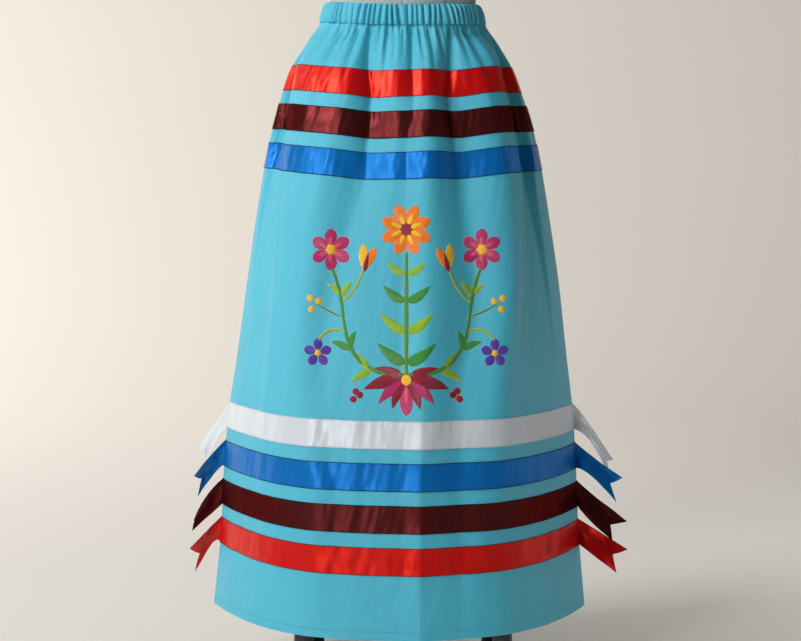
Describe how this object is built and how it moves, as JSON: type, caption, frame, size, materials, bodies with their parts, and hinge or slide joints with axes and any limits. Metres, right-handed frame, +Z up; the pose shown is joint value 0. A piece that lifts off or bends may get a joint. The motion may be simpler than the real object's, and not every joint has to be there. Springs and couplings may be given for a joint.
{
  "type": "ribbon skirt on dress form",
  "caption": "Long gathered cotton skirt with satin ribbon bands and free ribbon tails, standing on a limbless dress form with a pole and legged base.",
  "frame": {"origin": "on the floor under the pole, at the middle of the base", "axes": "+Z up, the skirt's front faces -Y, +X towards the right side seam as seen from the front"},
  "size_m": [0.6417, 0.4416, 1.4843],
  "materials": {
    "cotton": "plain-woven cotton, turquoise, matt",
    "satin_white": "satin ribbon, soft sheen",
    "satin_blue": "satin ribbon, soft sheen",
    "satin_maroon": "satin ribbon, soft sheen",
    "satin_red": "satin ribbon, soft sheen",
    "linen": "linen cover, matt",
    "stand_metal": "black powder coat, satin",
    "foot_rubber": "black rubber, matt",
    "cap_wood": "turned beech, satin varnish"
  },
  "bodies": {
    "root": {"waistband": "cotton", "front_panel": "cotton", "back_panel": "cotton", "front_ribbon_upper_red": "satin_red", "front_ribbon_upper_maroon": "satin_maroon", "front_ribbon_upper_blue": "satin_blue", "front_ribbon_lower_white": "satin_white", "front_ribbon_lower_blue": "satin_blue", "front_ribbon_lower_maroon": "satin_maroon", "front_ribbon_lower_red": "satin_red", "back_ribbon_upper_red": "satin_red", "back_ribbon_upper_maroon": "satin_maroon", "back_ribbon_upper_blue": "satin_blue", "back_ribbon_lower_white": "satin_white", "back_ribbon_lower_blue": "satin_blue", "back_ribbon_lower_maroon": "satin_maroon", "back_ribbon_lower_red": "satin_red", "left_tail_white": "satin_white", "left_tail_blue": "satin_blue", "left_tail_maroon": "satin_maroon", "left_tail_red": "satin_red", "right_tail_white": "satin_white", "right_tail_blue": "satin_blue", "right_tail_maroon": "satin_maroon", "right_tail_red": "satin_red", "torso": "linen", "neck_cap": "cap_wood", "collar": "stand_metal", "pole": "stand_metal", "hub": "stand_metal", "leg_1": "stand_metal", "leg_2": "stand_metal", "leg_3": "stand_metal", "leg_4": "stand_metal", "foot_1": "foot_rubber", "foot_2": "foot_rubber", "foot_3": "foot_rubber", "foot_4": "foot_rubber"}
  },
  "joints": []
}
